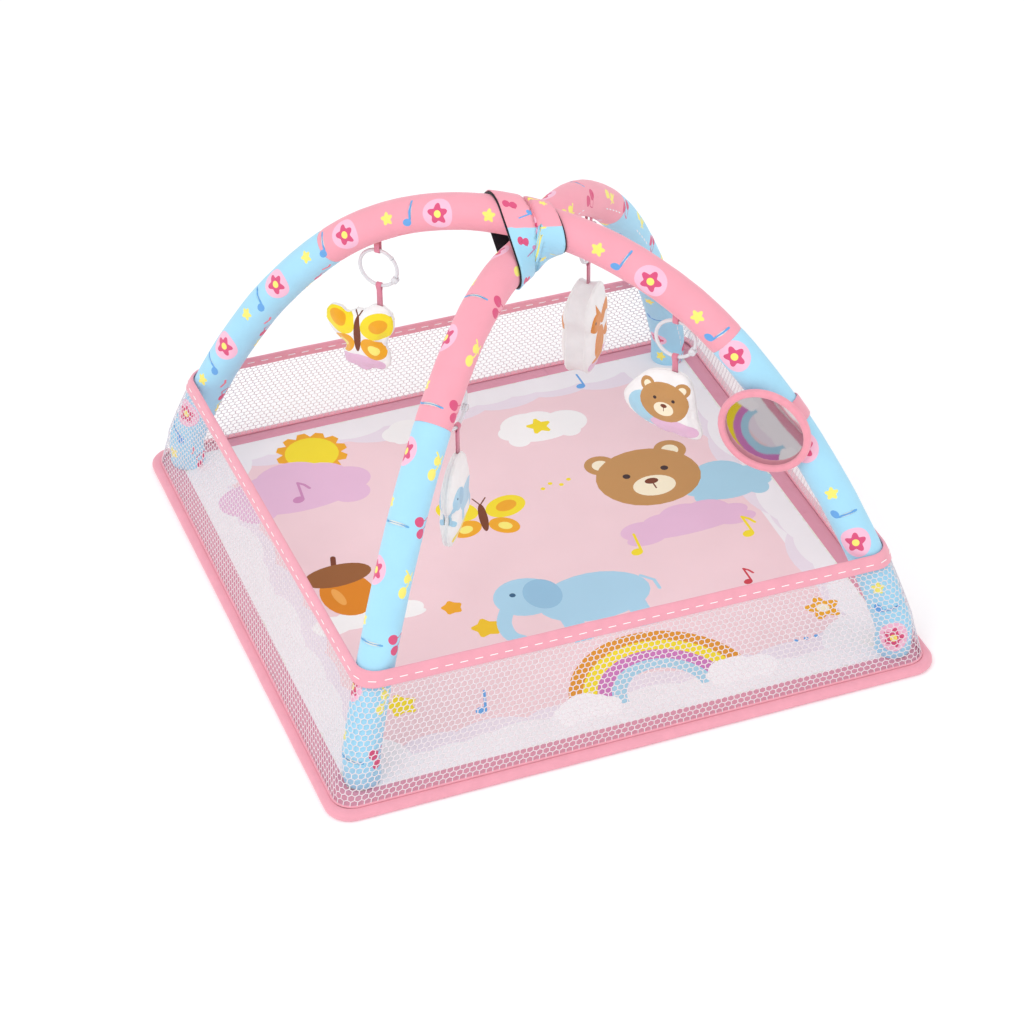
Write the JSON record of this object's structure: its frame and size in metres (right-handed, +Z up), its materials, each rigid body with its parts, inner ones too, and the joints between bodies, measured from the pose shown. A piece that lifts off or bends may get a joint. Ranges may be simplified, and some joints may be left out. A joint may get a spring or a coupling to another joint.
{
  "type": "baby activity play gym",
  "caption": "Padded square play mat with a low netting fence and two crossed padded arches carrying hanging plush toys on rings and a round baby mirror.",
  "frame": {"origin": "centre of the mat on the ground", "axes": "+Z up, +X along the front edge from left to right, +Y from the front edge to the back"},
  "size_m": [0.85, 0.85, 0.584],
  "materials": {
    "mat_base": "matte",
    "mat_padding": "matte",
    "mat_top": "matte",
    "pink_trim": "matte",
    "netting": "matte",
    "white_plastic": "gloss",
    "pole_plastic": "matte",
    "joining_rod": "matte",
    "foam": "matte",
    "sleeve_blue": "matte",
    "sleeve_pink": "matte",
    "hub_print": "matte",
    "black_hook_tape": "matte",
    "pink_webbing": "matte",
    "stuffing": "matte",
    "plush_mouse": "matte",
    "plush_bear": "matte",
    "plush_squirrel": "matte",
    "plush_elephant": "matte",
    "mirror_frame": "matte",
    "mirror_disc": "polished",
    "mirror_board": "matte"
  },
  "bodies": {
    "mat": {"mat_base_sheet": "mat_base", "mat_padding": "mat_padding", "mat_top_sheet": "mat_top", "mat_edge_binding": "pink_trim", "corner_pegs": "white_plastic", "fence_mesh_front": "netting", "fence_mesh_right": "netting", "fence_mesh_back": "netting", "fence_mesh_left": "netting", "fence_top_band": "pink_trim", "fence_base_hem": "pink_trim"},
    "arch_frame": {"arch_a_pole_left": "pole_plastic", "arch_a_pole_middle": "pole_plastic", "arch_a_pole_right": "pole_plastic", "arch_a_ferrules": "joining_rod", "arch_a_foam": "foam", "arch_a_sleeve_left": "sleeve_blue", "arch_a_sleeve_middle": "sleeve_pink", "arch_a_sleeve_right": "sleeve_blue", "arch_b_pole_left": "pole_plastic", "arch_b_pole_middle": "pole_plastic", "arch_b_pole_right": "pole_plastic", "arch_b_ferrules": "joining_rod", "arch_b_foam": "foam", "arch_b_sleeve_left": "sleeve_blue", "arch_b_sleeve_middle": "sleeve_pink", "arch_b_sleeve_right": "sleeve_blue", "hub_lining": "black_hook_tape", "hub_wrap": "hub_print", "toy_loops": "pink_webbing"},
    "ring_mouse": {"ring_mouse": "white_plastic"},
    "gate_mouse": {"gate_mouse": "white_plastic"},
    "toy_mouse": {"toy_mouse_ribbon": "pink_webbing", "toy_mouse_cover": "plush_mouse", "toy_mouse_stuffing": "stuffing"},
    "ring_bear": {"ring_bear": "white_plastic"},
    "gate_bear": {"gate_bear": "white_plastic"},
    "toy_bear": {"toy_bear_ribbon": "pink_webbing", "toy_bear_cover": "plush_bear", "toy_bear_stuffing": "stuffing"},
    "ring_squirrel": {"ring_squirrel": "white_plastic"},
    "gate_squirrel": {"gate_squirrel": "white_plastic"},
    "toy_squirrel": {"toy_squirrel_ribbon": "pink_webbing", "toy_squirrel_cover": "plush_squirrel", "toy_squirrel_stuffing": "stuffing"},
    "ring_elephant": {"ring_elephant": "white_plastic"},
    "gate_elephant": {"gate_elephant": "white_plastic"},
    "toy_elephant": {"toy_elephant_ribbon": "pink_webbing", "toy_elephant_cover": "plush_elephant", "toy_elephant_stuffing": "stuffing"},
    "mirror": {"mirror_strap": "pink_webbing", "mirror_strap_fastener": "black_hook_tape", "mirror_frame": "mirror_frame", "mirror_backing": "mirror_board", "mirror_glass": "mirror_disc"}
  },
  "joints": [
    {"name": "arch_lift", "type": "slide", "parent": "mat", "child": "arch_frame", "axis": [0, 0, 1], "range_m": [0, 0.2], "deforming": ["fence_mesh_front", "fence_mesh_right", "fence_mesh_back", "fence_mesh_left", "fence_top_band"]},
    {"name": "ring_mouse_swing", "type": "hinge", "parent": "arch_frame", "child": "ring_mouse", "pos_m": [-0.15061, 0.15061, 0.45446], "axis": [0.7071, -0.7071, 0], "range_deg": [-40, 40]},
    {"name": "toy_mouse_swing", "type": "hinge", "parent": "ring_mouse", "child": "toy_mouse", "pos_m": [-0.15061, 0.15061, 0.39946], "axis": [0.7071, -0.7071, 0], "range_deg": [-45, 45]},
    {"name": "ring_mouse_gate", "type": "hinge", "parent": "ring_mouse", "child": "gate_mouse", "pos_m": [-0.13377, 0.13377, 0.41321], "axis": [-0.7071, -0.7071, 0], "range_deg": [0, 40], "stiffness_Nm_per_rad": 0.002},
    {"name": "ring_bear_swing", "type": "hinge", "parent": "arch_frame", "child": "ring_bear", "pos_m": [0.15061, -0.15061, 0.45446], "axis": [0.7071, -0.7071, 0], "range_deg": [-40, 40]},
    {"name": "toy_bear_swing", "type": "hinge", "parent": "ring_bear", "child": "toy_bear", "pos_m": [0.15061, -0.15061, 0.39946], "axis": [0.7071, -0.7071, 0], "range_deg": [-45, 45]},
    {"name": "ring_bear_gate", "type": "hinge", "parent": "ring_bear", "child": "gate_bear", "pos_m": [0.16745, -0.16745, 0.41321], "axis": [-0.7071, -0.7071, 0], "range_deg": [0, 40], "stiffness_Nm_per_rad": 0.002},
    {"name": "ring_squirrel_swing", "type": "hinge", "parent": "arch_frame", "child": "ring_squirrel", "pos_m": [0.15061, 0.15061, 0.42281], "axis": [0.7071, 0.7071, 0], "range_deg": [-40, 40]},
    {"name": "toy_squirrel_swing", "type": "hinge", "parent": "ring_squirrel", "child": "toy_squirrel", "pos_m": [0.15061, 0.15061, 0.36781], "axis": [0.7071, 0.7071, 0], "range_deg": [-45, 45]},
    {"name": "ring_squirrel_gate", "type": "hinge", "parent": "ring_squirrel", "child": "gate_squirrel", "pos_m": [0.16745, 0.16745, 0.38156], "axis": [0.7071, -0.7071, 0], "range_deg": [0, 40], "stiffness_Nm_per_rad": 0.002},
    {"name": "ring_elephant_swing", "type": "hinge", "parent": "arch_frame", "child": "ring_elephant", "pos_m": [-0.15061, -0.15061, 0.42281], "axis": [0.7071, 0.7071, 0], "range_deg": [-40, 40]},
    {"name": "toy_elephant_swing", "type": "hinge", "parent": "ring_elephant", "child": "toy_elephant", "pos_m": [-0.15061, -0.15061, 0.36781], "axis": [0.7071, 0.7071, 0], "range_deg": [-45, 45]},
    {"name": "ring_elephant_gate", "type": "hinge", "parent": "ring_elephant", "child": "gate_elephant", "pos_m": [-0.13377, -0.13377, 0.38156], "axis": [0.7071, -0.7071, 0], "range_deg": [0, 40], "stiffness_Nm_per_rad": 0.002},
    {"name": "mirror_swivel", "type": "hinge", "parent": "arch_frame", "child": "mirror", "pos_m": [0.26021, -0.26021, 0.35118], "axis": [0.4364, -0.4364, -0.7869], "range_deg": [-30, 30]}
  ]
}
